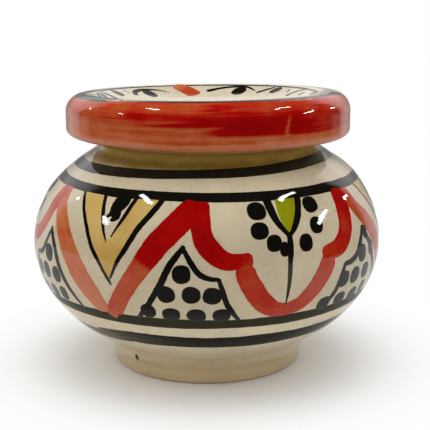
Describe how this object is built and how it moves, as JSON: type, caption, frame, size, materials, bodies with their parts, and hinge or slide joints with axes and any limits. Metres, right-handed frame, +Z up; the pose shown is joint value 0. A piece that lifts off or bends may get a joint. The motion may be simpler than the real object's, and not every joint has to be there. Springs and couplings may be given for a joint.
{
  "type": "covered ashtray",
  "caption": "Round-bellied glazed earthenware bowl on a turned foot with a loose dished lid: ash drops through the hole in the lid, which lifts off for emptying.",
  "frame": {"origin": "middle of the foot's underside, on the surface that the bowl stands on", "axes": "+Z up along the turning axis of bowl and lid; the side that faces the picture's camera looks along -Y"},
  "size_m": [0.12, 0.12, 0.0943],
  "materials": {
    "bowl_glaze": "cream clear glaze, crazed",
    "lid_glaze": "cream clear glaze, crazed, rim painted red",
    "red_paint": "brushed red under clear glaze",
    "black_paint": "brushed brown-black under clear glaze",
    "ochre_paint": "brushed ochre under clear glaze",
    "green_paint": "brushed yellow-green under clear glaze"
  },
  "bodies": {
    "bowl": {"bowl": "bowl_glaze"},
    "lid": {"lid": "lid_glaze"}
  },
  "joints": [
    {"name": "lid_lift", "type": "slide", "parent": "bowl", "child": "lid", "axis": [0, 0, 1], "range_m": [0, 0.06]}
  ]
}
